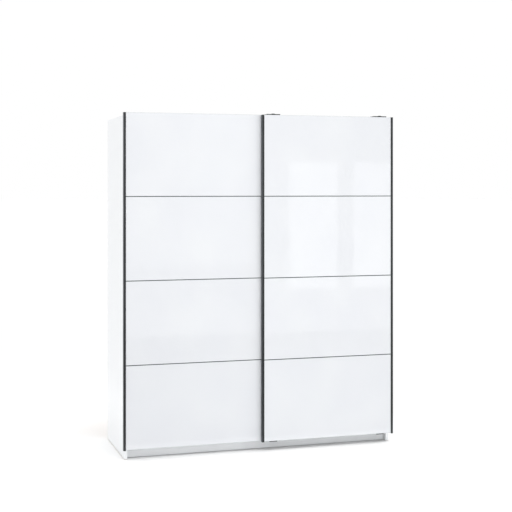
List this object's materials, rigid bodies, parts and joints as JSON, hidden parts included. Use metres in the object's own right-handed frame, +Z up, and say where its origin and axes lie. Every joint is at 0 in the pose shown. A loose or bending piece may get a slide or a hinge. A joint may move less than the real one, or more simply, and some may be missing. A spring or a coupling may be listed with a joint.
{
  "type": "sliding door wardrobe",
  "caption": "White two-door sliding wardrobe with glossy glass doors hung in front of the carcass, dark vertical handle profiles, shelves and a clothes rail.",
  "frame": {"origin": "on the floor, at the middle of the footprint", "axes": "+X to the right along the front, +Y from the doors to the back, +Z up"},
  "size_m": [1.8, 0.67, 2.1665],
  "materials": {
    "white_melamine": "fine pearl melamine",
    "white_hardboard": "painted hardboard",
    "lacquered_glass": "high gloss, opaque white behind the glass",
    "anthracite_aluminium": "satin anodised anthracite",
    "mill_aluminium": "extruded, natural anodised",
    "black_steel": "black powder coat",
    "zinc_steel": "zinc plated",
    "chromed_tube": "polished",
    "black_plastic": "moulded",
    "white_plastic": "moulded"
  },
  "bodies": {
    "carcass": {"left_side_panel": "white_melamine", "right_side_panel": "white_melamine", "centre_partition": "white_melamine", "top_panel": "white_melamine", "bottom_panel": "white_melamine", "front_plinth": "white_melamine", "rear_plinth": "white_melamine", "left_back_panel": "white_hardboard", "right_back_panel": "white_hardboard", "floor_glides": "white_plastic", "cam_fittings": "zinc_steel", "left_hat_shelf": "white_melamine", "right_hat_shelf": "white_melamine", "right_shelf_1": "white_melamine", "right_shelf_2": "white_melamine", "right_shelf_3": "white_melamine", "shelf_pins": "zinc_steel", "clothes_rail": "chromed_tube", "rail_sockets": "zinc_steel", "top_track": "mill_aluminium", "bottom_guide_rail": "mill_aluminium", "rail_screws": "zinc_steel", "end_buffers": "black_plastic", "wall_brackets": "zinc_steel"},
    "left_door": {"left_door_board": "white_melamine", "left_door_glass_1": "lacquered_glass", "left_door_glass_2": "lacquered_glass", "left_door_glass_3": "lacquered_glass", "left_door_glass_4": "lacquered_glass", "left_door_trims": "anthracite_aluminium", "left_door_left_handle": "anthracite_aluminium", "left_door_right_handle": "anthracite_aluminium", "left_door_left_hanger": "black_steel", "left_door_right_hanger": "black_steel", "left_door_axle_pins": "zinc_steel", "left_door_guide_arms": "black_steel", "left_door_guide_shoes": "black_plastic", "left_door_screws": "zinc_steel"},
    "right_door": {"right_door_board": "white_melamine", "right_door_glass_1": "lacquered_glass", "right_door_glass_2": "lacquered_glass", "right_door_glass_3": "lacquered_glass", "right_door_glass_4": "lacquered_glass", "right_door_trims": "anthracite_aluminium", "right_door_left_handle": "anthracite_aluminium", "right_door_right_handle": "anthracite_aluminium", "right_door_left_hanger": "black_steel", "right_door_right_hanger": "black_steel", "right_door_axle_pins": "zinc_steel", "right_door_guide_arms": "black_steel", "right_door_guide_shoes": "black_plastic", "right_door_screws": "zinc_steel"},
    "left_door_wheel_1": {"left_door_wheel_1": "black_plastic"},
    "left_door_wheel_2": {"left_door_wheel_2": "black_plastic"},
    "left_door_wheel_3": {"left_door_wheel_3": "black_plastic"},
    "left_door_wheel_4": {"left_door_wheel_4": "black_plastic"},
    "right_door_wheel_1": {"right_door_wheel_1": "black_plastic"},
    "right_door_wheel_2": {"right_door_wheel_2": "black_plastic"},
    "right_door_wheel_3": {"right_door_wheel_3": "black_plastic"},
    "right_door_wheel_4": {"right_door_wheel_4": "black_plastic"}
  },
  "joints": [
    {"name": "left_door_slide", "type": "slide", "parent": "carcass", "child": "left_door", "axis": [1, 0, 0], "range_m": [0, 0.85]},
    {"name": "left_door_wheel_1_spin", "type": "hinge", "parent": "left_door", "child": "left_door_wheel_1", "pos_m": [-0.844, -0.266, 2.1313], "axis": [0, 1, 0], "continuous": true},
    {"name": "left_door_wheel_2_spin", "type": "hinge", "parent": "left_door", "child": "left_door_wheel_2", "pos_m": [-0.788, -0.266, 2.1313], "axis": [0, 1, 0], "continuous": true},
    {"name": "left_door_wheel_3_spin", "type": "hinge", "parent": "left_door", "child": "left_door_wheel_3", "pos_m": [-0.102, -0.266, 2.1313], "axis": [0, 1, 0], "continuous": true},
    {"name": "left_door_wheel_4_spin", "type": "hinge", "parent": "left_door", "child": "left_door_wheel_4", "pos_m": [-0.046, -0.266, 2.1313], "axis": [0, 1, 0], "continuous": true},
    {"name": "right_door_slide", "type": "slide", "parent": "carcass", "child": "right_door", "axis": [1, 0, 0], "range_m": [-0.85, 0]},
    {"name": "right_door_wheel_1_spin", "type": "hinge", "parent": "right_door", "child": "right_door_wheel_1", "pos_m": [0.046, -0.246, 2.1313], "axis": [0, 1, 0], "continuous": true},
    {"name": "right_door_wheel_2_spin", "type": "hinge", "parent": "right_door", "child": "right_door_wheel_2", "pos_m": [0.102, -0.246, 2.1313], "axis": [0, 1, 0], "continuous": true},
    {"name": "right_door_wheel_3_spin", "type": "hinge", "parent": "right_door", "child": "right_door_wheel_3", "pos_m": [0.788, -0.246, 2.1313], "axis": [0, 1, 0], "continuous": true},
    {"name": "right_door_wheel_4_spin", "type": "hinge", "parent": "right_door", "child": "right_door_wheel_4", "pos_m": [0.844, -0.246, 2.1313], "axis": [0, 1, 0], "continuous": true}
  ],
  "couplings": [
    {"joint": "left_door_wheel_1_spin", "follows": "left_door_slide", "rad_per_m": 100},
    {"joint": "left_door_wheel_2_spin", "follows": "left_door_slide", "rad_per_m": 100},
    {"joint": "left_door_wheel_3_spin", "follows": "left_door_slide", "rad_per_m": 100},
    {"joint": "left_door_wheel_4_spin", "follows": "left_door_slide", "rad_per_m": 100},
    {"joint": "right_door_wheel_1_spin", "follows": "right_door_slide", "rad_per_m": 100},
    {"joint": "right_door_wheel_2_spin", "follows": "right_door_slide", "rad_per_m": 100},
    {"joint": "right_door_wheel_3_spin", "follows": "right_door_slide", "rad_per_m": 100},
    {"joint": "right_door_wheel_4_spin", "follows": "right_door_slide", "rad_per_m": 100}
  ]
}
